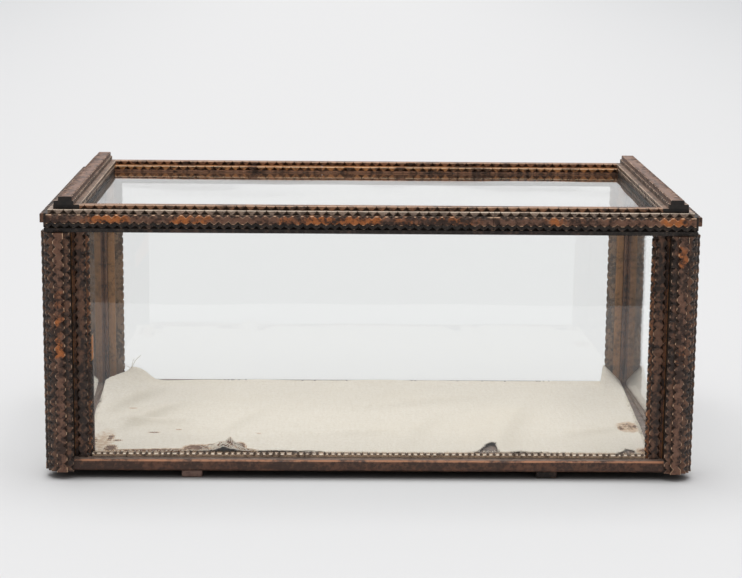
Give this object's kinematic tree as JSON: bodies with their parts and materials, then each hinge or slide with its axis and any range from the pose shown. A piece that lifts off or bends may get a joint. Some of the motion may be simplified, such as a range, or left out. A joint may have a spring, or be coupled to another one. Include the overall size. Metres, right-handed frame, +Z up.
{
  "type": "tabletop display case",
  "caption": "Tabletop display case with glass on every side, a hinged glass lid, edge-notched wooden facings and a cloth-lined floor.",
  "frame": {"origin": "middle of the footprint, on the surface that the feet stand on", "axes": "+X to the right along the front, +Y to the back, +Z up; the front faces -Y"},
  "size_m": [0.5078, 0.28, 0.2227],
  "materials": {
    "frame_wood": "dark brown stain, worn at the edges",
    "notched_strip_wood": "dark stain rubbed through to orange brown",
    "plain_stop_wood": "brown, satin",
    "glass": "clear, slightly green at the edges",
    "cloth": "coarse undyed plain weave",
    "hinge_brass": "dull, aged",
    "screw_steel": "dull"
  },
  "bodies": {
    "case": {"base_board": "frame_wood", "base_feet": "frame_wood", "case_top_rail_back": "frame_wood", "case_top_rail_front": "frame_wood", "case_top_rail_left": "frame_wood", "case_top_rail_right": "frame_wood", "cloth_lining": "cloth", "corner_post_back_left": "frame_wood", "corner_post_back_right": "frame_wood", "corner_post_front_left": "frame_wood", "corner_post_front_right": "frame_wood", "hinge_leaves_case": "hinge_brass", "hinge_pins": "hinge_brass", "hinge_screws_case": "screw_steel", "inner_stops_back": "plain_stop_wood", "inner_stops_front": "plain_stop_wood", "inner_stops_left": "plain_stop_wood", "inner_stops_right": "plain_stop_wood", "outer_stops_back": "notched_strip_wood", "outer_stops_front": "notched_strip_wood", "outer_stops_left": "notched_strip_wood", "outer_stops_right": "notched_strip_wood", "post_facing_narrow_back_left": "notched_strip_wood", "post_facing_narrow_back_right": "notched_strip_wood", "post_facing_narrow_front_left": "notched_strip_wood", "post_facing_narrow_front_right": "notched_strip_wood", "post_facing_wide_back_left": "notched_strip_wood", "post_facing_wide_back_right": "notched_strip_wood", "post_facing_wide_front_left": "notched_strip_wood", "post_facing_wide_front_right": "notched_strip_wood", "sill_bead_front": "notched_strip_wood", "sill_bead_left": "notched_strip_wood", "sill_bead_right": "notched_strip_wood", "window_pane_back": "glass", "window_pane_front": "glass", "window_pane_left": "glass", "window_pane_right": "glass"},
    "lid": {"hinge_leaves_lid": "hinge_brass", "hinge_screws_lid": "screw_steel", "lid_crest_left": "notched_strip_wood", "lid_crest_right": "notched_strip_wood", "lid_facing_back": "notched_strip_wood", "lid_facing_front": "notched_strip_wood", "lid_facing_left": "notched_strip_wood", "lid_facing_right": "notched_strip_wood", "lid_lower_cap_back": "notched_strip_wood", "lid_lower_cap_front": "notched_strip_wood", "lid_lower_cap_left": "notched_strip_wood", "lid_lower_cap_right": "notched_strip_wood", "lid_pane": "glass", "lid_rail_back": "frame_wood", "lid_rail_front": "frame_wood", "lid_rail_left": "frame_wood", "lid_rail_right": "frame_wood", "lid_upper_cap_back": "notched_strip_wood", "lid_upper_cap_front": "notched_strip_wood", "lid_upper_cap_left": "notched_strip_wood", "lid_upper_cap_right": "notched_strip_wood"}
  },
  "joints": [
    {"name": "lid_hinge", "type": "hinge", "parent": "case", "child": "lid", "pos_m": [0, 0.1375, 0.19845], "axis": [-1, 0, 0], "range_deg": [0, 95]}
  ]
}
